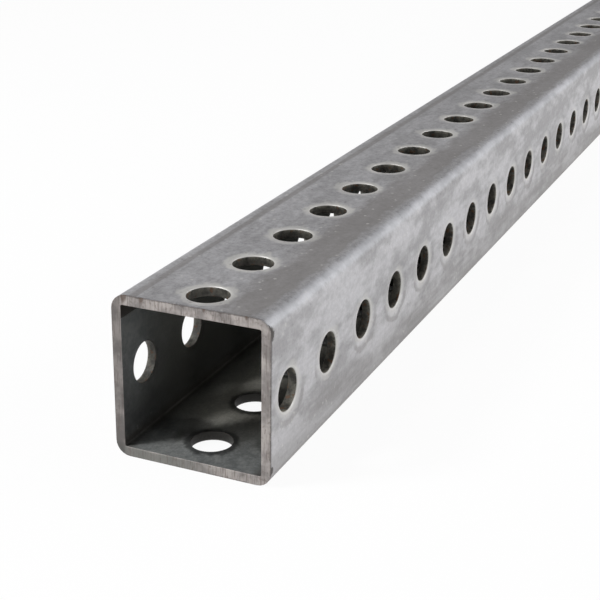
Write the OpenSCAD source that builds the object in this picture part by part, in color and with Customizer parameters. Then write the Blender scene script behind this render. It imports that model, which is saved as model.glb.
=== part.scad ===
// Perforated square steel sign post tube: one straight piece of punched and galvanised stock.
// It lies along X with the sawn near end at -X, is centred on Y and rests on z = 0.

/* [Tube] */
// Length of the piece, between its two cut ends
length = 914.4; // [300:0.1:1830]
// Outside width and height of the square section
width = 44.45; // [36:0.05:64]
// Thickness of the steel wall
wall = 2.67; // [1.6:0.01:3.1]
// Outside radius of the four rolled corners
corner_r = 3.97; // [1.5:0.01:5.5]
// Radius of the bends inside those corners, which rolling leaves tight
inner_r = 0.5; // [0.2:0.05:2]

/* [Punched holes] */
// Diameter of each hole
hole_d = 11.11; // [8:0.01:14]
// Distance from one hole centre to the next along the tube
pitch = 25.4; // [19:0.1:51]
// Distance from the near end's lowest edge to the first hole centre
near_margin = 11.1; // [10:0.1:25]
// Least distance left between the last hole centre and the far end
far_margin = 9.5; // [9:0.1:25]
// Radius of the rolled lip that the punch leaves round the outside of each hole
lip_r = 0.6; // [0.2:0.05:1]

/* [Cut ends] */
// Angle by which the saw cut at the near end leans away from square
cut_lean = 1.5; // [0:0.1:4]

/* [Hidden] */
inner_w = width - 2 * wall;
hole_r = hole_d / 2;
first_x = -length / 2 + near_margin;
holes_per_side = floor((length - near_margin - far_margin) / pitch) + 1;
// How far a cutting shape runs past the wall that it cuts
past = 1;
$fn = 48;

// Square outline with round corners, centred on the origin
module rounded_square(size, r) {
    square([size - 2 * r, size], center = true);
    square([size, size - 2 * r], center = true);
    for (x = [-1, 1], y = [-1, 1])
        translate([x * (size / 2 - r), y * (size / 2 - r)]) circle(r);
}

// Wall of the tube in section: even along the sides, and turned round the four corners
module section() {
    difference() {
        rounded_square(width, corner_r);
        rounded_square(inner_w, inner_r);
    }
}

// Carries a shape drawn along Z onto the tube's own axis, X, at the middle of its height
module along_tube() {
    translate([0, 0, width / 2]) rotate([0, 90, 0]) children();
}

// Half of the outline of the punch, drawn from the inside of the top wall outwards: straight through
// the wall, then flared by the rolled lip
module punch_outline() {
    square([hole_r, wall + 2 * past]);
    difference() {
        translate([0, past + wall - lip_r]) square([hole_r + lip_r, lip_r]);
        translate([hole_r + lip_r, past + wall - lip_r]) circle(lip_r);
    }
    translate([0, past + wall]) square([hole_r + lip_r, past]);
}

// One stroke of the punch, standing on the tube's axis and piercing the wall above it
module punch() {
    translate([0, 0, width / 2 - wall - past]) rotate_extrude() punch_outline();
}

// A row of holes in each of the four walls, at the same stations
module punched_rows() {
    for (i = [0 : holes_per_side - 1], side = [0 : 90 : 270])
        translate([first_x + i * pitch, 0, width / 2]) rotate([side, 0, 0]) punch();
}

// Wedge that the saw took off the near end, hinged on its lowest edge
module leaning_cut() {
    translate([-length / 2, 0, 0])
        rotate([0, cut_lean, 0])
            translate([-width, -width, -width]) cube([width, 2 * width, 3 * width]);
}

module post_tube() {
    color([0.64, 0.65, 0.65])
        difference() {
            along_tube() linear_extrude(length, center = true) section();
            leaning_cut();
            punched_rows();
        }
}

post_tube();
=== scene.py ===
"""Finish and setting of a perforated square steel sign post tube that lies on a pale studio floor.

The tube is one closed surface, worked out in millimetres: a cell round each punched hole, four rolled
corners between the rows of cells, and a sawn face at each end. It is written to its mesh in metres.
"""

import logging
import math
from dataclasses import dataclass, field
from enum import Enum
from typing import Any, Optional, Union

import bmesh
import bpy
import numpy as np
from mathutils import Matrix, Vector


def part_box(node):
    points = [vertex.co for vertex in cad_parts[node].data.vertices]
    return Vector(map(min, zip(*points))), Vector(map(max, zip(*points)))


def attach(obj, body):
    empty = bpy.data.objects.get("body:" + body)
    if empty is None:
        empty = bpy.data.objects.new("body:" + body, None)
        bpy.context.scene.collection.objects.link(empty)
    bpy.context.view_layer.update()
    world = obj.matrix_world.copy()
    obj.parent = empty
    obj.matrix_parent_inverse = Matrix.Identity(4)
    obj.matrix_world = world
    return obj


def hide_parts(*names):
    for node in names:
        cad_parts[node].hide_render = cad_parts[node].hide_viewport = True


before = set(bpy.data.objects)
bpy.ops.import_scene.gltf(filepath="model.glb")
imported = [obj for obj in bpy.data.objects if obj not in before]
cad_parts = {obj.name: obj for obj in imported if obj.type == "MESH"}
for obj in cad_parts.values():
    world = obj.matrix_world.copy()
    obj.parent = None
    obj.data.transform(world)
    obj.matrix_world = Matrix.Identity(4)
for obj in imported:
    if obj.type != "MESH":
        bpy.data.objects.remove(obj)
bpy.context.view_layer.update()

MM = 0.001
NODE = "post_tube"
BODY = "root"
SIDES = 4

log = logging.getLogger("sign_post_tube")


class Skin(Enum):
    """The finishes of the tube, numbered as its material slots are."""

    OUTSIDE = 0
    INSIDE = 1
    HOLE_WALL = 2
    SAWN_END = 3


class Ray(Enum):
    """The kinds of ray that see the pale floor as plain white, by their Light Path outputs."""

    CAMERA = "Is Camera Ray"
    GLOSSY = "Is Glossy Ray"
    TRANSMISSION = "Is Transmission Ray"


Pair = tuple[float, float]
Triple = tuple[float, float, float]
Colour = Triple
Array = np.ndarray
Operand = Union["Wire", float]
Paint = Union["Wire", Colour]


class Wire:
    """An output of a node, with Python's operators, so that shader maths reads as expressions."""

    def __init__(self, sheet: "ShaderSheet", socket: bpy.types.NodeSocket) -> None:
        """Keeps the sheet that new nodes go on and the output that this wire starts from."""
        self.sheet = sheet
        self.socket = socket

    def __add__(self, other: Operand) -> "Wire":
        """Sum."""
        return self.sheet.math("ADD", self, other)

    def __radd__(self, other: Operand) -> "Wire":
        """Sum, with the number first."""
        return self.sheet.math("ADD", other, self)

    def __sub__(self, other: Operand) -> "Wire":
        """Difference."""
        return self.sheet.math("SUBTRACT", self, other)

    def __rsub__(self, other: Operand) -> "Wire":
        """Difference, with the number first."""
        return self.sheet.math("SUBTRACT", other, self)

    def __mul__(self, other: Operand) -> "Wire":
        """Product."""
        return self.sheet.math("MULTIPLY", self, other)

    def __rmul__(self, other: Operand) -> "Wire":
        """Product, with the number first."""
        return self.sheet.math("MULTIPLY", other, self)

    def __truediv__(self, other: Operand) -> "Wire":
        """Quotient."""
        return self.sheet.math("DIVIDE", self, other)

    def __pow__(self, other: Operand) -> "Wire":
        """Power."""
        return self.sheet.math("POWER", self, other)

    def __abs__(self) -> "Wire":
        """Distance from zero."""
        return self.sheet.math("ABSOLUTE", self)


class ShaderSheet:
    """The node tree of a material or of the world, with the few kinds of node that are used."""

    def __init__(self, owner: Union[bpy.types.Material, bpy.types.World]) -> None:
        """Turns on the owner's nodes and empties their tree.

        Args:
            owner: What the nodes belong to.
        """
        owner.use_nodes = True
        self.tree = owner.node_tree
        self.tree.nodes.clear()

    def node(
        self,
        kind: str,
        settings: Optional[dict[str, Any]] = None,
        sockets: Optional[dict[Union[str, int], Any]] = None,
    ) -> bpy.types.Node:
        """Adds a node, sets it and then fills its inputs.

        Args:
            kind: The node's type name.
            settings: Properties of the node, such as a Math node's operation.
            sockets: A wire or a value for each named or numbered input.

        Returns:
            The new node.
        """
        made = self.tree.nodes.new(kind)
        for name, value in (settings or {}).items():
            setattr(made, name, value)
        for name, value in (sockets or {}).items():
            if isinstance(value, Wire):
                self.tree.links.new(value.socket, made.inputs[name])
            else:
                made.inputs[name].default_value = value
        return made

    def wire(self, node: bpy.types.Node, output: Union[str, int] = 0) -> Wire:
        """The wire that starts at a node's output."""
        return Wire(self, node.outputs[output])

    def math(self, operation: str, *operands: Operand) -> Wire:
        """A Math node on one, two or three wires or numbers."""
        return self.wire(self.node("ShaderNodeMath", {"operation": operation}, dict(enumerate(operands))))

    def length(self, first: Wire, second: Wire) -> Wire:
        """Length of the line whose two legs are given: the root of the sum of their squares."""
        return (first * first + second * second) ** 0.5

    def stretch(self, place: Wire, factors: Triple) -> Wire:
        """A place multiplied along X, Y and Z: a factor below 1 draws a pattern out that way."""
        settings = {"operation": "MULTIPLY"}
        return self.wire(self.node("ShaderNodeVectorMath", settings, {0: place, 1: factors}))

    def noise(self, place: Wire, size: float, detail: float = 2.0, roughness: float = 0.5) -> Wire:
        """Cloudy noise about 0.5.

        Args:
            place: Where it is read, in millimetres.
            size: Width of its largest clouds, in millimetres.
            detail: How many finer octaves are added.
            roughness: How strong each octave is beside the one before.

        Returns:
            The noise, from 0 to 1.
        """
        sockets = {"Vector": place, "Scale": 1.0 / size, "Detail": detail, "Roughness": roughness}
        return self.wire(self.node("ShaderNodeTexNoise", {"noise_dimensions": "3D"}, sockets))

    def specks(self, place: Wire, size: float) -> Wire:
        """Distance to the nearest of scattered points that lie about a size apart, as a share of it."""
        sockets = {"Vector": place, "Scale": 1.0 / size}
        return self.wire(self.node("ShaderNodeTexVoronoi", {"feature": "F1"}, sockets), "Distance")

    def rise(self, value: Operand, low: float, high: float) -> Wire:
        """A smooth step from 0 to 1.

        Args:
            value: What the step is taken over.
            low: Where it is still 0.
            high: Where it is 1. If that is less than low, the step falls.

        Returns:
            The step.
        """
        settings = {"interpolation_type": "SMOOTHSTEP"}
        falling = high < low
        sockets = {"Value": value, "From Min": min(low, high), "From Max": max(low, high)}
        sockets |= {"To Min": float(falling), "To Max": float(not falling)}
        return self.wire(self.node("ShaderNodeMapRange", settings, sockets))

    def between(self, value: Operand, low: float, high: float, soft: float) -> Wire:
        """A band that is 1 from low to high and fades over a soft edge on both sides."""
        return self.rise(value, low - soft, low) * self.rise(value, high + soft, high)

    def mix(self, share: Operand, first: Paint, second: Paint, blend: str = "MIX") -> Wire:
        """The first colour with a share of the second laid over it.

        Args:
            share: How much of the second shows.
            first: The colour underneath.
            second: The colour on top.
            blend: How the second changes the first.

        Returns:
            The mixed colour.
        """
        settings = {"data_type": "RGBA", "clamp_factor": True, "blend_type": blend}
        sockets = {0: share, 6: as_colour(first), 7: as_colour(second)}
        return self.wire(self.node("ShaderNodeMix", settings, sockets), 2)

    def shade(self, colour: Wire, level: Operand) -> Wire:
        """A colour made brighter or darker by a level about 1."""
        grey = self.wire(self.node("ShaderNodeCombineColor", {}, {0: level, 1: level, 2: level}))
        return self.mix(1.0, colour, grey, "MULTIPLY")


def as_colour(value: Paint) -> Union[Wire, tuple[float, float, float, float]]:
    """A wire as it is, or a plain colour with full opacity."""
    return value if isinstance(value, Wire) else (*value, 1.0)


def swing(noise: Wire, width: Operand) -> Wire:
    """A noise about 0.5 as an offset about zero, over at most a width."""
    return (noise - 0.5) * width


def add_object(name: str, data: bpy.types.ID) -> bpy.types.Object:
    """Puts a new object into the scene.

    Args:
        name: The object's name.
        data: Its mesh, lamp or camera.

    Returns:
        The object.
    """
    made = bpy.data.objects.new(name, data)
    bpy.context.scene.collection.objects.link(made)
    return made


@dataclass
class TubeSizes:
    """The real sizes of the punched tube, in millimetres and degrees.

    The length and the width are read from the CAD node; the rest repeats the part's own sizes.
    """

    wall: float = 2.67
    corner_r: float = 3.97
    inner_r: float = 0.5
    hole_r: float = 5.555
    lip_r: float = 0.6
    pitch: float = 25.4
    near_margin: float = 11.1
    cut_lean: float = 1.5
    x_near: float = field(init=False)
    x_far: float = field(init=False)
    width: float = field(init=False)

    def __post_init__(self) -> None:
        """Reads where the tube starts and ends, and how wide it is, from the CAD node's box."""
        low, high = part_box(NODE)
        self.x_near = low.x / MM
        self.x_far = high.x / MM
        self.width = (high.y - low.y) / MM

    @property
    def half(self) -> float:
        """Half of the outside width."""
        return self.width / 2

    @property
    def flat(self) -> float:
        """Half of the width of a side's flat part, between its two corners."""
        return self.half - self.corner_r

    @property
    def first_x(self) -> float:
        """Station of the first hole's centre."""
        return self.x_near + self.near_margin

    @property
    def hole_count(self) -> int:
        """Number of holes along each side."""
        return int((self.x_far - self.first_x - self.hole_r) // self.pitch) + 1

    @property
    def lean_slope(self) -> float:
        """How far the near end's saw cut leans along X for each millimetre of height."""
        return math.tan(math.radians(self.cut_lean))


class Coordinates:
    """Where a point of the tube is, as wires in millimetres, for the finishes to read."""

    def __init__(self, sheet: ShaderSheet, sizes: TubeSizes) -> None:
        """Turns the object's own coordinates into millimetres and takes them apart.

        Args:
            sheet: The sheet that the nodes go on.
            sizes: The tube's real sizes.
        """
        self.sheet = sheet
        self.sizes = sizes
        place = sheet.wire(sheet.node("ShaderNodeTexCoord"), "Object")
        scale = {"operation": "SCALE"}
        self.place = sheet.wire(sheet.node("ShaderNodeVectorMath", scale, {0: place, "Scale": 1.0 / MM}))
        parts = sheet.node("ShaderNodeSeparateXYZ", {}, {0: self.place})
        self.x, self.y, self.z = (sheet.wire(parts, axis) for axis in "XYZ")
        self.rise_z = self.z - sizes.half
        self.from_near = self.x - sizes.x_near - sizes.lean_slope * self.z
        self.from_far = sizes.x_far - self.x
        self.across = sheet.math("MINIMUM", abs(self.y), abs(self.rise_z))
        self.out = sheet.math("MAXIMUM", abs(self.y), abs(self.rise_z))
        half_pitch = sizes.pitch / 2
        x_in_pitch = sheet.math("WRAP", self.x - sizes.first_x, half_pitch, -half_pitch)
        self.from_hole = sheet.length(x_in_pitch, self.across)


class Coats:
    """A colour that is built up coat by coat."""

    def __init__(self, at: Coordinates, ground: Wire) -> None:
        """Starts on a ground colour."""
        self.at = at
        self.colour = ground

    def lay(self, share: Operand, over: Paint) -> None:
        """Lays a share of another colour over what is there."""
        self.colour = self.at.sheet.mix(share, self.colour, over)

    def shade(self, level: Operand) -> None:
        """Makes what is there brighter or darker by a level about 1."""
        self.colour = self.at.sheet.shade(self.colour, level)


@dataclass(frozen=True)
class Nick:
    """A small dent in the near end's outer edge, at a place on its section, in millimetres."""

    y: float
    z: float
    width: float
    depth: float


@dataclass(frozen=True)
class Flake:
    """A dark flake of burr on a side of the tube, beside the near end's cut, in millimetres."""

    z: float
    height: float
    reach: float


@dataclass(frozen=True)
class ZincPatterns:
    """What the coats of the outer zinc share: 1 on the top, 1 on light clouds, and its noises."""

    top: Wire
    cloudy: Wire
    clouds: Wire
    mottle: Wire
    streaks: Wire
    grain: Wire
    flecks: Wire


@dataclass(frozen=True)
class GalvanisedOutside:
    """Zinc on the outside of the tube: cool grey clouds drawn out along it, worn and stained, with painted
    highlights and painted shade.

    Sizes and places are in millimetres, and a share is how much of a coat shows.
    """

    light: Colour = (0.51, 0.505, 0.52)
    dark: Colour = (0.335, 0.33, 0.337)
    # A dark brownish tone for stains, wear and pits, also laid as painted shade.
    stain_and_shade: Colour = (0.21, 0.198, 0.19)
    highlight_tint: Colour = (0.60, 0.63, 0.68)
    rim: Colour = (0.63, 0.62, 0.59)
    grime_and_shade: Colour = (0.045, 0.038, 0.034)
    cloud_size: float = 10.0
    mottle_size: float = 3.6
    streak_size: float = 1.3
    fleck_size: float = 1.5
    grain_size: float = 0.6
    dross_spacing: float = 2.8
    pit_spacing: float = 2.1
    low_side_heights: Pair = (18.0, 4.0)
    low_side_share: float = 0.45
    worn_right: Pair = (-19.6, -17.0)
    worn_left: Pair = (-4.0, -11.5)
    worn_share: float = 0.65
    rolled_y: Pair = (15.6, 16.8)
    rolled_share: float = 0.6
    corner_highlight_share: float = 0.28
    lower_bend_shade_share: float = 0.5
    lip_highlight_share: float = 0.5
    low_ring_radii: Pair = (8.4, 9.2)
    low_ring_share: float = 0.5
    burnt_share: float = 0.4
    flake_share: float = 0.95
    metallic: float = 0.5
    flakes: tuple[Flake, ...] = (
        Flake(z=41.0, height=2.2, reach=1.7),
        Flake(z=4.6, height=1.3, reach=1.6),
    )

    def paint(self, at: Coordinates) -> dict[str, Any]:
        """Works out the zinc's colour, gloss and relief.

        Args:
            at: Where a point of the tube is.

        Returns:
            The shader's inputs, and a relief in millimetres.
        """
        sheet, noise = at.sheet, self.patterns(at)
        top = noise.top
        ground = sheet.mix(noise.cloudy * (1 - top * 0.45) + top * 0.22, self.dark, self.light)
        coats = Coats(at, ground)
        # The sides darker towards the bottom, with stronger streaks there.
        low_sides = sheet.rise(at.z + swing(noise.clouds, 14.0), *self.low_side_heights) * (1 - top)
        speckle = sheet.rise(noise.grain, 0.32, 0.68) * 0.5 + sheet.rise(noise.flecks, 0.34, 0.66) * 0.7
        speckle = (speckle - 0.6) * (0.18 + top * 0.14)
        # Painted shade: the top is shaded about a tenth darker than the sides.
        coats.shade(0.97 - top * 0.1 + swing(noise.streaks, 0.16 + low_sides * 0.5) + speckle)

        worn_y = at.y + swing(noise.mottle, 7.0) + swing(noise.clouds, 5.0)
        worn = sheet.rise(worn_y, *self.worn_right) * sheet.rise(worn_y, *self.worn_left) * top
        coats.lay(worn * self.worn_share, self.stain_and_shade)
        rolled = sheet.between(at.y + swing(noise.streaks, 2.0), *self.rolled_y, 0.9) * top
        coats.lay(rolled * self.rolled_share, self.stain_and_shade)
        coats.lay(low_sides * self.low_side_share, self.stain_and_shade)
        self.dress_corners(coats, noise)
        self.dress_holes(coats, noise)
        self.burn_edge(coats, noise)
        spread = swing(noise.flecks, 0.5)
        dross = sheet.rise(sheet.specks(at.place, self.dross_spacing) + spread, 0.22, 0.08)
        dross = dross * sheet.rise(noise.mottle, 0.44, 0.6)
        coats.lay(dross * (0.35 + top * 0.25), self.rim)
        pits = sheet.rise(sheet.specks(at.place, self.pit_spacing) + spread, 0.24, 0.1)
        pits = pits * sheet.rise(noise.mottle, 0.54, 0.40)
        coats.lay(pits * (0.3 + top * 0.3), self.stain_and_shade)

        relief = swing(noise.clouds, 0.20) + swing(noise.mottle, 0.12)
        relief = relief + swing(noise.flecks, 0.02 + top * 0.03) + swing(noise.grain, 0.01 + top * 0.02)
        return {
            "Base Color": coats.colour,
            "Roughness": 0.42 + noise.grain * 0.12 + noise.mottle * 0.16 + worn * 0.06,
            "relief": relief + dross * 0.03 - pits * 0.03,
        }

    def patterns(self, at: Coordinates) -> ZincPatterns:
        """Makes the zinc's noises, the larger ones drawn out along the tube.

        Args:
            at: Where a point of the tube is.

        Returns:
            The patterns.
        """
        sheet = at.sheet
        half = at.sizes.half
        clouds = sheet.noise(sheet.stretch(at.place, (0.3, 1.0, 1.0)), self.cloud_size, 3.0, 0.5)
        mottle = sheet.noise(sheet.stretch(at.place, (0.55, 1.0, 1.0)), self.mottle_size, 4.0, 0.6)
        return ZincPatterns(
            top=sheet.rise(at.rise_z, half - 0.8, half - 0.2),
            cloudy=sheet.rise(clouds * 0.6 + mottle * 0.4, 0.40, 0.60),
            clouds=clouds,
            mottle=mottle,
            streaks=sheet.noise(sheet.stretch(at.place, (0.03, 1.0, 1.0)), self.streak_size, 3.0, 0.6),
            grain=sheet.noise(at.place, self.grain_size, 3.0, 0.7),
            flecks=sheet.noise(at.place, self.fleck_size, 4.0, 0.7),
        )

    def dress_corners(self, coats: Coats, noise: ZincPatterns) -> None:
        """Paints a highlight on the upper corners and paints shade on the lower ones.

        Args:
            coats: The colour so far.
            noise: The zinc's patterns.
        """
        at, sheet, flat = coats.at, coats.at.sheet, coats.at.sizes.flat
        upper = sheet.rise(at.rise_z, 0.0, 4.0)
        # Painted highlight along the upper bends, in a pale bluish tint.
        corner_highlight = sheet.rise(at.across + swing(noise.flecks, 1.6), flat + 0.9, flat + 2.3)
        coats.lay(corner_highlight * upper * self.corner_highlight_share, self.highlight_tint)
        # Painted shade along the lower bends.
        under = sheet.rise(at.across, flat - 0.4, flat + 1.4)
        coats.lay(under * (1 - upper) * self.lower_bend_shade_share, self.stain_and_shade)

    def dress_holes(self, coats: Coats, noise: ZincPatterns) -> None:
        """Lays a pale ring round each hole, partly a painted highlight, paints a highlight on its lip, and
        darkens a ring low on the sides.

        Args:
            coats: The colour so far.
            noise: The zinc's patterns.
        """
        at, sheet, hole_r, top = coats.at, coats.at.sheet, coats.at.sizes.hole_r, noise.top
        wander = swing(noise.mottle, 7.0)
        # A pale ring of pressed zinc round each hole, partly a painted highlight of the dimple's slope.
        rim = sheet.rise(at.from_hole + wander - top * 0.4, hole_r + 2.4, hole_r + 0.8)
        coats.lay(rim * (0.35 + top * (noise.cloudy * 0.3 + 0.12)), self.rim)
        # Painted highlight on the rolled lip, in the pale rim colour.
        lip = sheet.rise(at.from_hole + swing(noise.grain, 0.8), hole_r + 0.9, hole_r + 0.5)
        coats.lay(lip * self.lip_highlight_share, self.rim)
        # A darker ring round the holes, on the lower part of the sides and on the bottom.
        low_ring = sheet.between(at.from_hole + wander * 0.6, *self.low_ring_radii, 0.9)
        low_ring = low_ring * sheet.rise(noise.clouds, 0.40, 0.58) * sheet.rise(at.rise_z, 2.0, -4.0)
        coats.lay(low_ring * self.low_ring_share * (1 - top), self.stain_and_shade)

    def burn_edge(self, coats: Coats, noise: ZincPatterns) -> None:
        """Darkens the edge of the near cut and the flakes of burr beside it.

        Args:
            coats: The colour so far.
            noise: The zinc's patterns.
        """
        at, sheet = coats.at, coats.at.sheet
        burnt = sheet.rise(at.from_near + swing(noise.grain, 1.6), 0.9, 0.1) * self.burnt_share
        for flake in self.flakes:
            away = sheet.length((at.z - flake.z) / flake.height, at.from_near / flake.reach)
            dark = sheet.rise(away + swing(noise.grain, 1.2), 1.1, 0.7) * self.flake_share
            burnt = sheet.math("MAXIMUM", burnt, dark)
        coats.lay(burnt, self.grime_and_shade)


@dataclass(frozen=True)
class GalvanisedInside:
    """Dull zinc inside the tube: painted darker further in from its ends, and dusty along its floor.

    Reaches and the painted shadow band are millimetres from the nearer end.
    """

    light: Colour = (0.29, 0.30, 0.295)
    dark: Colour = (0.19, 0.20, 0.20)
    deep_shade: Colour = (0.165, 0.167, 0.152)
    dusty: Colour = (0.41, 0.402, 0.357)
    corner_shade: Colour = (0.035, 0.030, 0.023)
    seam_dark: Colour = (0.035, 0.028, 0.022)
    cloud_size: float = 7.0
    mottle_size: float = 2.6
    grain_size: float = 0.8
    dross_spacing: float = 2.8
    unshaded_reach: float = 4.0
    full_shade_reach: float = 29.0
    dust_spread: Pair = (18.0, 6.0)
    low_wall_heights: Pair = (24.0, 8.0)
    low_wall_share: float = 0.58
    shadow_band: Pair = (12.0, 19.0)
    shadow_share: float = 0.5
    ring_share: float = 0.72
    corner_shade_share: float = 0.75
    weld_drop: float = 6.3
    weld_share: float = 0.85
    metallic: float = 0.4

    def paint(self, at: Coordinates) -> dict[str, Any]:
        """Works out the inside's colour, gloss and relief.

        Args:
            at: Where a point of the tube is.

        Returns:
            The shader's inputs, and a relief in millimetres.
        """
        sheet, sizes = at.sheet, at.sizes
        clouds = sheet.noise(sheet.stretch(at.place, (0.5, 1.0, 1.0)), self.cloud_size, 4.0, 0.6)
        mottle = sheet.noise(at.place, self.mottle_size, 4.0, 0.65)
        grain = sheet.noise(at.place, self.grain_size, 3.0, 0.7)
        ground = sheet.rise(at.z, sizes.wall + 6.0, sizes.wall + 0.5)
        mouth = sheet.math("MINIMUM", at.from_near, at.from_far) + swing(clouds, 16.0)
        # Painted shade: further in from the ends the walls and the floor's edges take the deep dark colour,
        # and the floor's middle takes dust.
        clean = sheet.rise(mouth, self.full_shade_reach, self.unshaded_reach)
        cloudy = sheet.rise(clouds * 0.4 + mottle * 0.6, 0.38, 0.62)
        coats = Coats(at, sheet.mix(cloudy * (0.75 + ground * 0.25), self.dark, self.light))
        dust = ground * sheet.rise(abs(at.y) + swing(clouds, 6.0), *self.dust_spread)
        coats.lay(1 - clean, sheet.mix(dust, self.deep_shade, self.dusty))
        coats.shade(0.8 + sheet.rise(grain, 0.3, 0.7) * (0.12 + ground * 0.2))

        walls = sheet.rise(at.z, sizes.wall + 0.2, sizes.wall + 0.6)
        # The walls darker towards the floor.
        low_walls = sheet.rise(at.z + swing(clouds, 8.0), *self.low_wall_heights) * walls
        coats.shade(1 - low_walls * self.low_wall_share)
        # Painted shadow: a dark band across the floor, about 12 to 19 mm in from the ends and further in on
        # the -Y side.
        inward = mouth * (1 - sheet.rise(at.y, 3.0, -5.0) * 0.22)
        floor_shadow = sheet.between(inward, *self.shadow_band, 3.5) * (1 - walls)
        coats.shade(1 - floor_shadow * self.shadow_share)
        ringed = sheet.rise(at.from_hole + swing(mottle, 2.0), sizes.hole_r + 2.6, sizes.hole_r + 0.9)
        coats.shade(1 - ringed * ground * self.ring_share)
        dross = sheet.rise(sheet.specks(at.place, self.dross_spacing) + swing(grain, 0.4), 0.2, 0.08)
        coats.lay(dross * clean * (0.1 + ground * 0.5), self.light)

        inner_half = sizes.half - sizes.wall
        # Painted shade in the inside's corners, which are also rougher.
        inner_corners = sheet.rise(at.across + swing(clouds, 3.0), inner_half - 4.0, inner_half - 0.3)
        coats.lay(inner_corners * self.corner_shade_share, self.corner_shade)
        # A dark band with a low ridge along the weld seam, high on the +Y wall.
        weld_z = sizes.width - self.weld_drop
        seam = sheet.rise(at.z, weld_z - 0.4, weld_z) * sheet.rise(at.y, sizes.flat - 1.0, sizes.flat)
        coats.lay(seam * self.weld_share, self.seam_dark)
        return {
            "Base Color": coats.colour,
            "Roughness": 0.32 + clouds * 0.16 + inner_corners * 0.3,
            "relief": swing(clouds, 0.08) + swing(grain, 0.03) + seam * 0.15,
        }


@dataclass(frozen=True)
class PunchedWall:
    """Torn steel of a hole's wall: olive brown, with rust in spots. Sizes are in millimetres."""

    clean: Colour = (0.20, 0.19, 0.16)
    dark: Colour = (0.035, 0.033, 0.028)
    rust: Colour = (0.10, 0.045, 0.018)
    blotch_size: float = 2.4
    tear_size: float = 0.5
    rust_size: float = 1.6
    rust_share: float = 0.7
    metallic: float = 0.3

    def paint(self, at: Coordinates) -> dict[str, Any]:
        """Works out the torn wall's colour, gloss and relief.

        Args:
            at: Where a point of the tube is.

        Returns:
            The shader's inputs, and a relief in millimetres.
        """
        sheet, sizes = at.sheet, at.sizes
        blotch = sheet.noise(at.place, self.blotch_size, 3.0, 0.65)
        tear = sheet.noise(at.place, self.tear_size, 2.0, 0.6)
        torn = sheet.rise(sizes.half - at.out + swing(blotch, 3.0), 0.5, 2.0)
        bottom = sheet.rise(at.z, sizes.wall + 1.0, sizes.wall)
        # Painted shade: the walls of the bottom holes take the dark colour and no rust.
        share = sheet.rise(blotch, 0.36, 0.64) * (1 - torn * 0.6) * (1 - bottom)
        coats = Coats(at, sheet.mix(share, self.dark, self.clean))
        rust = sheet.rise(sheet.noise(at.place, self.rust_size, 2.0), 0.58, 0.68)
        coats.lay(rust * self.rust_share * (1 - bottom), self.rust)
        # Painted shade: hole walls are shaded darker in the top and bottom holes, and towards +Y.
        over = sheet.rise(at.rise_z, sizes.half - sizes.wall - 1.0, sizes.half - sizes.wall)
        level = 0.95 - over * 0.35 - bottom * 0.5 - sheet.rise(at.y, 0.0, sizes.flat) * 0.45
        coats.shade(level + tear * 0.6)
        return {
            "Base Color": coats.colour,
            "Roughness": 0.5 + blotch * 0.2,
            "relief": swing(tear, 0.10),
        }


@dataclass(frozen=True)
class SawnEnd:
    """Bare sawn steel of a cut end: pinkish grey, with the fine upright lines of the blade.

    Sizes are in millimetres.
    """

    clean: Colour = (0.46, 0.420, 0.398)
    dull: Colour = (0.24, 0.221, 0.212)
    low_tint: Colour = (0.17, 0.175, 0.16)
    scratch: Colour = (0.13, 0.105, 0.095)
    grime_and_shade: Colour = (0.07, 0.06, 0.055)
    rust: Colour = (0.095, 0.062, 0.045)
    line_size: float = 0.45
    patch_size: float = 5.0
    rough_size: float = 1.1
    low_tint_y: Pair = (-10.0, 6.0)
    left_share: float = 0.44
    line_share: float = 0.7
    rough_share: float = 0.45
    edge_shade_share: float = 0.7
    rust_share: float = 0.75
    metallic: float = 0.2
    nicks: tuple[Nick, ...] = ()

    def paint(self, at: Coordinates) -> dict[str, Any]:
        """Works out the sawn face's colour, gloss and relief.

        Args:
            at: Where a point of the tube is.

        Returns:
            The shader's inputs, and a relief in millimetres.
        """
        sheet, sizes = at.sheet, at.sizes
        lines = sheet.noise(sheet.stretch(at.place, (0.0, 1.0, 0.07)), self.line_size, 3.0, 0.7)
        patches = sheet.noise(at.place, self.patch_size, 3.0, 0.6)
        rough = sheet.noise(at.place, self.rough_size, 2.0, 0.6)
        coats = Coats(at, sheet.mix(sheet.rise(patches, 0.35, 0.65), self.dull, self.clean))
        # The bottom strip takes a darker grey, most towards +Y.
        low_left = sheet.rise(at.y + swing(patches, 16.0), *self.low_tint_y)
        low = sheet.rise(at.z + swing(patches, 2.0), sizes.wall + 1.5, sizes.wall - 0.5)
        coats.lay(low * (0.08 + low_left * 0.75), self.low_tint)
        inner_half = sizes.half - sizes.wall
        left = sheet.rise(at.y, inner_half - 0.5, inner_half + 0.5)
        coats.shade(1 - left * self.left_share)
        coats.lay(sheet.rise(lines, 0.50, 0.66) * self.line_share, self.scratch)
        coats.lay(sheet.rise(rough, 0.58, 0.70) * self.rough_share, self.scratch)
        # Painted shade: a dark line along the face's outer edge.
        edge_shade = sheet.rise(at.out + swing(rough, 0.7), sizes.half - 0.4, sizes.half - 0.05)
        coats.lay(edge_shade * self.edge_shade_share, self.grime_and_shade)
        for nick in self.nicks:
            away = sheet.length(abs(at.y - nick.y) / nick.width, (nick.z - at.z) / (nick.width * 2.2))
            coats.lay(sheet.rise(away + swing(rough, 0.8), 1.0, 0.4) * self.rust_share, self.rust)
        return {
            "Base Color": coats.colour,
            "Roughness": 0.46 + patches * 0.16,
            "relief": swing(lines, 0.10) + swing(rough, 0.05),
        }


Finish = Union[GalvanisedOutside, GalvanisedInside, PunchedWall, SawnEnd]


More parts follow.
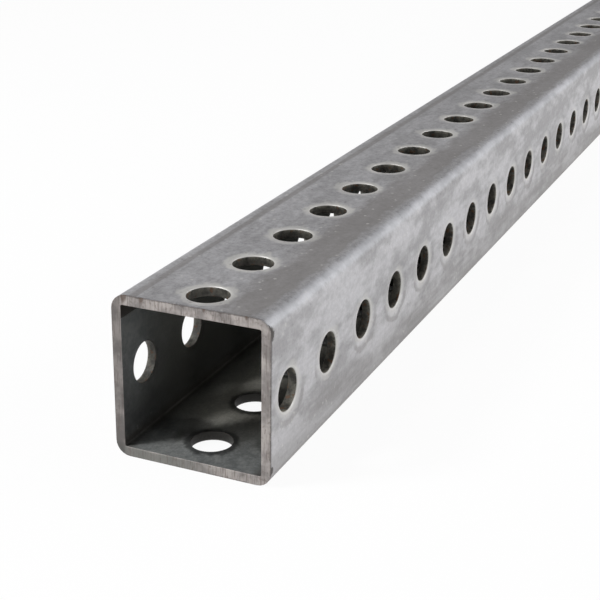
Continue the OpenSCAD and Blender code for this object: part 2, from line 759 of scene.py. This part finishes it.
def make_material(name: str, finish: Finish, sizes: TubeSizes) -> bpy.types.Material:
    """Makes a material from a finish.

    Args:
        name: The material's name.
        finish: The finish that paints it.
        sizes: The tube's real sizes.

    Returns:
        The material, with one Principled shader and its bump.
    """
    material = bpy.data.materials.new(name)
    sheet = ShaderSheet(material)
    inputs = finish.paint(Coordinates(sheet, sizes))
    relief = inputs.pop("relief")
    bump = sheet.node("ShaderNodeBump", {}, {"Strength": 1.0, "Distance": MM, "Height": relief})
    inputs |= {"Metallic": finish.metallic, "Normal": sheet.wire(bump)}
    shader = sheet.node("ShaderNodeBsdfPrincipled", {}, inputs)
    sheet.node("ShaderNodeOutputMaterial", {}, {"Surface": sheet.wire(shader)})
    return material


@dataclass
class Grid:
    """Points in rows and columns, and the finish of each row of faces between them.

    The points may have leading dimensions, one grid for each entry. A face's corners run from a
    row to the next and then to the next column, so its normal is that direction crossed with this.
    """

    points: Array
    skins: Array
    closed: bool = False

    def faces(self, first: int) -> tuple[Array, Array]:
        """Numbers the grid's faces.

        Args:
            first: Number of the grid's first point in the whole mesh.

        Returns:
            The four corner numbers of each face, and each face's material slot.
        """
        shape = self.points.shape[:-1]
        number = first + np.arange(int(np.prod(shape))).reshape(-1, shape[-2], shape[-1])
        if self.closed:
            number = np.concatenate([number, number[:, :, :1]], axis=2)
        near, far = number[:, :-1], number[:, 1:]
        corners = np.stack([near[..., :-1], far[..., :-1], far[..., 1:], near[..., 1:]], axis=-1)
        slots = np.broadcast_to(self.skins[None, :, None], corners.shape[:3])
        return corners.reshape(-1, 4), slots.reshape(-1)


def smooth(share: Array) -> Array:
    """Eases a share from 0 to 1: three times its square less twice its cube."""
    share = np.clip(share, 0.0, 1.0)
    return share * share * (3.0 - 2.0 * share)


@dataclass
class PostTube:
    """The punched tube: its walls, its rolled lips and dimples, its corners and its cut ends."""

    sizes: TubeSizes
    dimple_r: float = 9.3
    dimple_floor_r: float = 7.6
    dimple_depth: float = 0.26
    dimple_margin: float = 0.3
    burr: float = 0.12
    bevel: float = 0.12
    cell_steps: int = 8
    saw_steps: int = 96
    end_rows: int = 5
    corner_steps: int = 6
    lip_steps: int = 3
    dimple_steps: int = 3
    sharp_angle: float = 38.0
    nicks: tuple[Nick, ...] = (
        Nick(y=18.6, z=44.4, width=1.2, depth=0.35),
        Nick(y=13.6, z=44.4, width=1.0, depth=0.35),
        Nick(y=-4.0, z=44.4, width=0.6, depth=0.25),
        Nick(y=-15.5, z=44.4, width=0.6, depth=0.25),
    )

    def directions(self, side: Array) -> tuple[Array, Array]:
        """Gives the directions of sides that are numbered round the section from the top.

        Args:
            side: Side numbers: 0 is the top, and each next one is a quarter turn about +X further.

        Returns:
            For each side, the direction across it and its outward normal.
        """
        turn = side * (math.pi / 2)
        zero = np.zeros_like(turn)
        across = np.stack([zero, np.cos(turn), np.sin(turn)], axis=-1)
        outward = np.stack([zero, -np.sin(turn), np.cos(turn)], axis=-1)
        return across, outward

    def on_side(self, side: Array, x: Array, t: Array, depth: Array) -> Array:
        """Places points on the sides of the tube.

        The point is the tube's axis at x, plus t along the side, plus the outward normal times half
        of the width less the depth.

        Args:
            side: Side numbers.
            x: Stations along the tube.
            t: Distances across the side from its middle.
            depth: Depths below the side's outer face.

        Returns:
            The points, with X, Y and Z last.
        """
        side, x, t, depth = np.broadcast_arrays(np.asarray(side, float), x, t, depth)
        across, outward = self.directions(side)
        axis = np.stack([x, np.zeros_like(x), np.full_like(x, self.sizes.half)], axis=-1)
        return axis + t[..., None] * across + (self.sizes.half - depth)[..., None] * outward

    def dimple(self, radius: Array) -> Array:
        """The dimple's depth: its greatest depth times the eased share of the way from rim to floor."""
        return self.dimple_depth * smooth((self.dimple_r - radius) / (self.dimple_r - self.dimple_floor_r))

    def hole_profile(self) -> tuple[Array, Array, Array, Array]:
        """Draws the section through a hole's rim, from the inner face round to the outer face.

        It runs in over the inner face and its torn burr, up the hole's wall, round the rolled lip,
        which is a quarter circle, and out over the dimple. At both ends it meets the cell's outline.

        Returns:
            Radius and depth of each ring, each ring's share of the cell's outline, and the finish of
            the faces between one ring and the next.
        """
        s = self.sizes
        back = s.wall + self.dimple_depth
        bulge = np.array([self.dimple_r, s.hole_r + 0.5])
        tear = np.array([[s.hole_r + 0.22, back + self.burr], [s.hole_r + 0.08, back], [s.hole_r, 1.6]])
        turn = np.linspace(0.0, math.pi / 2, self.lip_steps + 1)
        lip = s.hole_r + s.lip_r * (1 - np.cos(turn))
        lip_depth = self.dimple_depth + s.lip_r * (1 - np.sin(turn))
        dish = np.linspace(self.dimple_floor_r, self.dimple_r, self.dimple_steps + 1)
        dish = np.append(dish, self.dimple_r + self.dimple_margin)
        radius = np.concatenate([[0.0], bulge, tear[:, 0], lip, dish, [0.0]])
        bulge_depth = s.wall + self.dimple(bulge)
        depth = np.concatenate([[s.wall], bulge_depth, tear[:, 1], lip_depth, self.dimple(dish), [0.0]])
        outline = np.zeros_like(radius)
        outline[[0, -1]] = 1.0
        counts = {Skin.INSIDE: 1 + len(bulge), Skin.HOLE_WALL: 1 + len(tear)}
        counts[Skin.OUTSIDE] = len(radius) - 1 - sum(counts.values())
        skins = np.concatenate([np.full(count, skin.value) for skin, count in counts.items()])
        return radius, depth, outline, skins

    def cell_outline(self, near: float, far: float, near_steps: int) -> tuple[Array, Array, Array]:
        """Walks round a hole's cell, a rectangle between two stations and the two corners.

        The walk goes up the far edge, back along one corner, down the near edge and out along the
        other corner. A quarter of the hole's circle faces each edge, in equal steps.

        Args:
            near: How far the near edge is from the hole's centre.
            far: How far the far edge is.
            near_steps: Steps along the near edge.

        Returns:
            Each step's angle on the circle, and its place along and across on the rectangle.
        """
        steps = (self.cell_steps, self.cell_steps, near_steps, self.cell_steps)
        corners = np.array([[far, -1], [far, 1], [-near, 1], [-near, -1], [far, -1]], float)
        corners[:, 1] *= self.sizes.flat
        shares = [np.arange(count) / count for count in steps]
        angles = [(k - 0.5 + share) * (math.pi / 2) for k, share in enumerate(shares)]
        runs = np.diff(corners, axis=0)
        edges = [corners[k] + share[:, None] * runs[k] for k, share in enumerate(shares)]
        outline = np.concatenate(edges)
        return np.concatenate(angles), outline[:, 0], outline[:, 1]

    def cells(self, centres: Array, near: float, far: float, near_steps: int) -> Grid:
        """Builds the cells round holes that lie at the same stations in all four sides.

        A ring's point is the hole's centre plus its radius at the step's angle, or the step's place
        on the cell's outline.

        Args:
            centres: Stations of the holes' centres.
            near: How far a cell's near edge is from its centre.
            far: How far its far edge is.
            near_steps: Steps along the near edge.

        Returns:
            A closed grid for each hole.
        """
        radius, depth, outline, skins = self.hole_profile()
        angle, edge_x, edge_t = self.cell_outline(near, far, near_steps)
        share = outline[:, None]
        x = (1 - share) * radius[:, None] * np.cos(angle) + share * edge_x
        t = (1 - share) * radius[:, None] * np.sin(angle) + share * edge_t
        side = np.arange(SIDES)[:, None, None, None]
        stations = centres[None, :, None, None] + x[None, None]
        points = self.on_side(side, stations, t[None, None], depth[None, None, :, None])
        return Grid(points, skins, closed=True)

    def bend_line(self, depth: float) -> tuple[Array, Array]:
        """Draws a bend of the section, from the end of one side's flat part to the start of the next.

        The outer bend is one quarter circle. The inner one is tighter: the face runs on flat, turns
        through its own quarter circle and runs flat again.

        Args:
            depth: 0 for the outer bend, or the wall's thickness for the inner one.

        Returns:
            Distance across the first side and depth below it, for each point.
        """
        s = self.sizes
        radius = s.inner_r if depth else s.corner_r
        turn = np.linspace(0.0, math.pi / 2, self.corner_steps + (-1 if depth else 1))
        t = -(s.half - depth - radius * (1 - np.sin(turn)))
        down = depth + radius * (1 - np.cos(turn))
        if depth:
            t = np.concatenate([[-s.flat], t, [t[-1]]])
            down = np.concatenate([[depth], down, [s.corner_r]])
        return t, down

    def bends(self, stations: Array) -> list[Grid]:
        """Builds the four rolled corners, outside and inside.

        Args:
            stations: Stations of the steps along the cells' edges.

        Returns:
            A grid for the outside and one for the inside.
        """
        side = np.arange(SIDES)[:, None, None]
        outer_t, outer_depth = (line[None, :, None] for line in self.bend_line(0.0))
        inner_t, inner_depth = (line[None, None, :] for line in self.bend_line(self.sizes.wall))
        outer = self.on_side(side, stations[None, None, :], outer_t, outer_depth)
        inner = self.on_side(side, stations[None, :, None], inner_t, inner_depth)
        outer_skin = np.full(self.corner_steps, Skin.OUTSIDE.value)
        inner_skin = np.full(len(stations) - 1, Skin.INSIDE.value)
        return [Grid(outer, outer_skin), Grid(inner, inner_skin)]

    def loop(self, x: float, depth: float, side_steps: int) -> Array:
        """Walks once round the section: along each side, then round its bend.

        Args:
            x: Station of the walk.
            depth: 0 for the outside, or the wall's thickness for the inside.
            side_steps: Steps along each side.

        Returns:
            The points of the walk.
        """
        flat = self.sizes.flat
        bend_t, bend_depth = self.bend_line(depth)
        t = np.concatenate([np.linspace(flat, -flat, side_steps + 1)[:-1], bend_t[:-1]])
        down = np.concatenate([np.full(side_steps, depth), bend_depth[:-1]])
        side = np.arange(SIDES)[:, None]
        return self.on_side(side, np.full_like(t, x)[None], t[None], down[None]).reshape(-1, 3)

    def cut_end(self, x: float, inward: float, side_steps: int) -> Grid:
        """Builds the face of a cut end, with the fine bevel that the saw leaves on both its edges.

        Args:
            x: Station of the cut.
            inward: 1 where the tube lies on the +X side of the cut, and -1 where it doesn't.
            side_steps: Steps along each side, as in the cells that meet the cut.

        Returns:
            A closed grid from the inner edge to the outer edge.
        """
        wall = self.sizes.wall
        outer, inner = (self.loop(x, depth, side_steps) for depth in (0.0, wall))
        edge_share = self.bevel / wall
        shares = np.concatenate([[0.0], np.linspace(edge_share, 1 - edge_share, self.end_rows), [1.0]])
        points = outer + shares[:, None, None] * (inner - outer)
        points[[0, -1], :, 0] += inward * self.bevel
        skins = np.full(len(shares) - 1, Skin.SAWN_END.value)
        return Grid(points if inward > 0 else points[::-1], skins, closed=True)

    def lean(self, points: Array) -> Array:
        """Slides the near end's points along the tube until its edge lies on the saw's leaning plane.

        The slide is the slope times the height at the edge, and falls evenly to nothing beside the
        rim of the first hole's dimple.

        Args:
            points: The tube's points.

        Returns:
            The moved points.
        """
        s = self.sizes
        reach = s.near_margin - self.dimple_r - self.dimple_margin
        share = np.clip((s.x_near + reach - points[..., 0]) / reach, 0.0, 1.0)
        moved = points.copy()
        moved[..., 0] += s.lean_slope * points[..., 2] * share
        return moved

    def dent(self, points: Array) -> Array:
        """Presses the nicks into the near end.

        Each moves the points by it along the tube: its depth times a bell curve of their distance.

        Args:
            points: The tube's points.

        Returns:
            The moved points.
        """
        moved = points.copy()
        for nick in self.nicks:
            x = self.sizes.x_near + self.sizes.lean_slope * nick.z
            away = np.linalg.norm(points - np.array([x, nick.y, nick.z]), axis=-1)
            moved[..., 0] += nick.depth * np.exp(-((away / nick.width) ** 2))
        return moved

    def grids(self) -> list[Grid]:
        """Lays out the whole tube as grids that meet edge to edge.

        Returns:
            The cells, the corners and the two cut ends.
        """
        s = self.sizes
        centres = s.first_x + s.pitch * np.arange(s.hole_count)
        half_pitch = s.pitch / 2
        near = s.near_margin - self.bevel
        far = s.x_far - self.bevel - centres[-1]
        grids = [
            self.cells(centres[:1], near, half_pitch, self.saw_steps),
            self.cells(centres[1:-1], half_pitch, half_pitch, self.cell_steps),
            self.cells(centres[-1:], half_pitch, far, self.cell_steps),
        ]
        edges = np.concatenate([[s.first_x - near], centres[:-1] + half_pitch, [centres[-1] + far]])
        share = np.arange(self.cell_steps) / self.cell_steps
        stations = (edges[:-1, None] + share * np.diff(edges)[:, None]).reshape(-1)
        grids += self.bends(np.append(stations, edges[-1]))
        grids.append(self.cut_end(s.x_near, 1.0, self.saw_steps))
        grids.append(self.cut_end(s.x_far, -1.0, self.cell_steps))
        return grids

    def build(self) -> bpy.types.Object:
        """Joins the grids into one closed mesh, dresses it, attaches it to the body and hides the CAD node
        that it replaces.

        Returns:
            The finished piece.
        """
        grids = self.grids()
        starts = np.cumsum([0] + [grid.points.size // 3 for grid in grids])
        points = np.concatenate([grid.points.reshape(-1, 3) for grid in grids])
        parts = [grid.faces(int(start)) for grid, start in zip(grids, starts)]
        corners = np.concatenate([part[0] for part in parts])
        slots = np.concatenate([part[1] for part in parts])
        points = self.dent(self.lean(points)) * MM

        mesh = bpy.data.meshes.new("punched_tube")
        mesh.from_pydata(points, [], corners.tolist())
        mesh.polygons.foreach_set("material_index", slots.astype(np.int32))
        weld(mesh, 0.002 * MM)
        mesh.shade_smooth()
        mesh.set_sharp_from_angle(angle=math.radians(self.sharp_angle))
        self.dress(mesh)

        piece = add_object("punched_tube", mesh)
        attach(piece, BODY)
        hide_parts(NODE)
        return piece

    def dress(self, mesh: bpy.types.Mesh) -> None:
        """Fills the mesh's material slots, in the order of the finishes.

        Args:
            mesh: The tube's mesh.
        """
        finishes = {
            "zinc_outside": GalvanisedOutside(),
            "zinc_inside": GalvanisedInside(),
            "punched_wall": PunchedWall(),
            "sawn_end": SawnEnd(nicks=self.nicks),
        }
        for name, finish in finishes.items():
            mesh.materials.append(make_material(name, finish, self.sizes))


def weld(mesh: bpy.types.Mesh, distance: float) -> None:
    """Merges a mesh's points that lie together, so that its grids share their edges.

    Args:
        mesh: The mesh to close.
        distance: How near points have to be, in metres.
    """
    work = bmesh.new()
    work.from_mesh(mesh)
    bmesh.ops.remove_doubles(work, verts=work.verts, dist=distance)
    work.to_mesh(mesh)
    work.free()


@dataclass
class PaleFloor:
    """A wide pale floor that reads as plain white, but keeps the tube's soft shadow.

    Under the tube, past the first holes of either end, it keeps its full shadow.
    """

    sizes: TubeSizes
    radius: float = 30.0
    rim_steps: int = 128
    paint: Colour = (0.86, 0.86, 0.86)
    white_share: float = 0.94
    lit_reach: Pair = (43.0, 50.0)

    def build(self) -> bpy.types.Object:
        """Returns:
            The floor.
        """
        turn = np.linspace(0.0, 2 * math.pi, self.rim_steps, endpoint=False)
        rim = self.radius * np.stack([np.cos(turn), np.sin(turn), np.zeros_like(turn)], axis=-1)
        mesh = bpy.data.meshes.new("pale_floor")
        mesh.from_pydata(rim, [], [list(range(len(rim)))])
        mesh.materials.append(self.material())
        floor = add_object("pale_floor", mesh)
        return floor

    def material(self) -> bpy.types.Material:
        """Mixes matt paint with plain white for the rays that show the floor itself.

        Returns:
            The floor's material.
        """
        material = bpy.data.materials.new("pale_floor")
        sheet = ShaderSheet(material)
        matt = sheet.node("ShaderNodeBsdfDiffuse", {}, {"Color": as_colour(self.paint)})
        white = sheet.node("ShaderNodeEmission", {}, {"Color": (1.0, 1.0, 1.0, 1.0), "Strength": 1.0})
        path = sheet.node("ShaderNodeLightPath")
        seen = sum(sheet.wire(path, ray.value) for ray in Ray)
        at = Coordinates(sheet, self.sizes)
        mouth = sheet.math("MINIMUM", at.x - self.sizes.x_near, at.from_far)
        flat = self.sizes.flat
        covered = sheet.rise(mouth, *self.lit_reach) * sheet.rise(abs(at.y), flat - 4.0, flat - 8.0)
        share = sheet.math("MINIMUM", seen, 1.0) * self.white_share * (1 - covered)
        mixed = sheet.node("ShaderNodeMixShader", {}, {0: share, 1: sheet.wire(matt), 2: sheet.wire(white)})
        sheet.node("ShaderNodeOutputMaterial", {}, {"Surface": sheet.wire(mixed)})
        return material


@dataclass
class Softbox:
    """A square studio lamp that faces a point of the tube."""

    name: str
    place: Triple
    aim: Triple
    size: Pair
    power: float

    def build(self) -> bpy.types.Object:
        """Makes the lamp and turns it to its aim.

        Returns:
            The lamp.
        """
        lamp = bpy.data.lights.new(self.name, "AREA")
        lamp.shape = "RECTANGLE"
        lamp.size, lamp.size_y = self.size
        lamp.energy = self.power
        made = add_object(self.name, lamp)
        made.location = self.place
        made.rotation_euler = (Vector(self.aim) - Vector(self.place)).to_track_quat("-Z", "Y").to_euler()
        return made


@dataclass
class Studio:
    """The light of the photograph: pale walls to the horizon, dimmer overhead, and four softboxes."""

    horizon: Colour = (0.84, 0.825, 0.82)
    overhead: Colour = (0.205, 0.205, 0.21)
    fade_start: float = 0.04
    fade_end: float = 0.3
    lamps: tuple[Softbox, ...] = (
        Softbox("side_softbox", (0.45, -1.6, 0.9), (0.25, 0.0, 0.0), (1.6, 1.0), 23.0),
        Softbox("back_softbox", (1.8, -1.15, 1.1), (-0.3, 0.0, 0.0), (0.9, 0.7), 3.0),
        Softbox("front_softbox", (-0.964, 0.699, 0.777), (-0.44, 0.0, 0.02), (0.24, 0.24), 8.7),
        Softbox("high_softbox", (-0.72, 0.44, 1.10), (-0.44, 0.0, 0.02), (0.28, 0.28), 3.2),
    )

    def build(self) -> None:
        """Makes the world and the lamps, and leaves the picture's colours as they are written."""
        scene = bpy.context.scene
        world = bpy.data.worlds.new("studio_walls")
        scene.world = world
        sheet = ShaderSheet(world)
        direction = sheet.wire(sheet.node("ShaderNodeTexCoord"), "Generated")
        parts = sheet.node("ShaderNodeSeparateXYZ", {}, {0: direction})
        height = sheet.rise(sheet.wire(parts, "Z"), self.fade_start, self.fade_end)
        colour = sheet.mix(height, self.horizon, self.overhead)
        glow = sheet.node("ShaderNodeBackground", {}, {"Color": colour, "Strength": 1.0})
        sheet.node("ShaderNodeOutputWorld", {}, {"Surface": sheet.wire(glow)})
        for lamp in self.lamps:
            lamp.build()
        scene.view_settings.view_transform = "Standard"


@dataclass
class PhotoCamera:
    """A camera that stands where the photograph was taken from, in metres and degrees."""

    place: Triple = (-0.7115, -0.1444, 0.1615)
    heading: float = 65.79
    descent: float = 21.52
    roll: float = 0.155
    lens: float = 77.87
    sensor: float = 36.0

    def build(self) -> bpy.types.Object:
        """Makes the camera and the scene's camera of it.

        The heading turns from +Y towards +X, the descent tips the view down, and the roll turns the
        picture's right-hand side up.

        Returns:
            The camera.
        """
        heading, descent, roll = (math.radians(angle) for angle in (self.heading, self.descent, self.roll))
        level = math.cos(descent)
        forward = Vector((math.sin(heading) * level, math.cos(heading) * level, -math.sin(descent)))
        flat_right = forward.cross(Vector((0.0, 0.0, 1.0))).normalized()
        right = flat_right * math.cos(roll) + flat_right.cross(forward) * math.sin(roll)
        turned = Matrix((right, right.cross(forward), -forward)).transposed().to_4x4()
        data = bpy.data.cameras.new("photo_camera")
        data.lens = self.lens
        data.sensor_width = self.sensor
        data.clip_start = 0.01
        camera = add_object("photo_camera", data)
        camera.matrix_world = Matrix.Translation(self.place) @ turned
        bpy.context.scene.camera = camera
        return camera


def main() -> None:
    """Builds the camera, the studio, the floor and the tube, in that order."""
    logging.basicConfig(level=logging.INFO, format="%(name)s: %(message)s")
    camera = PhotoCamera().build()
    log.info("%s: lens %.1f mm", camera.name, camera.data.lens)
    Studio().build()
    sizes = TubeSizes()
    floor = PaleFloor(sizes).build()
    log.info("%s: stage", floor.name)
    tube = PostTube(sizes).build()
    faces = len(tube.data.polygons)
    log.info("%s: %d faces, %d triangles", tube.name, faces, len(tube.data.loops) - 2 * faces)


if __name__ == "__main__":
    main()
